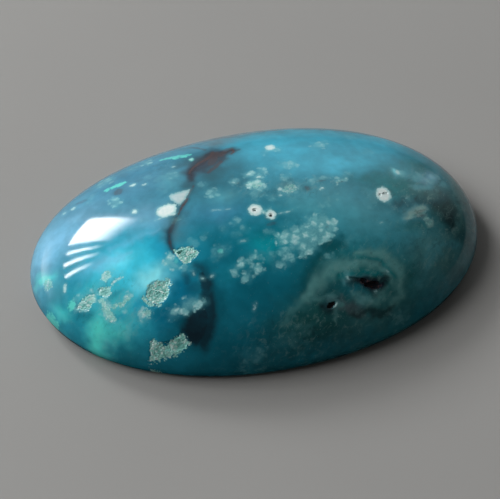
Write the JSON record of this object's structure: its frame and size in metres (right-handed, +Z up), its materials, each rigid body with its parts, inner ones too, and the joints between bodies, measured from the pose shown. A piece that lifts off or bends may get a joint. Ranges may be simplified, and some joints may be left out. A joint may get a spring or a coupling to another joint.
{
  "type": "gem silica cabochon",
  "caption": "Polished oval gem silica cabochon with a domed top, flat back, blue-green translucent body, druzy patches and small open vugs.",
  "frame": {"origin": "middle of the oval's bounding box, on the flat back", "axes": "+X along the oval's long axis towards the end with the brown vugs, +Z up out of the dome"},
  "size_m": [0.03, 0.0188, 0.0064],
  "materials": {
    "gem_silica": "high polish on the dome, fine-ground flat back, rough in the vugs and druzy patches"
  },
  "bodies": {
    "root": {"cabochon": "gem_silica"}
  },
  "joints": []
}
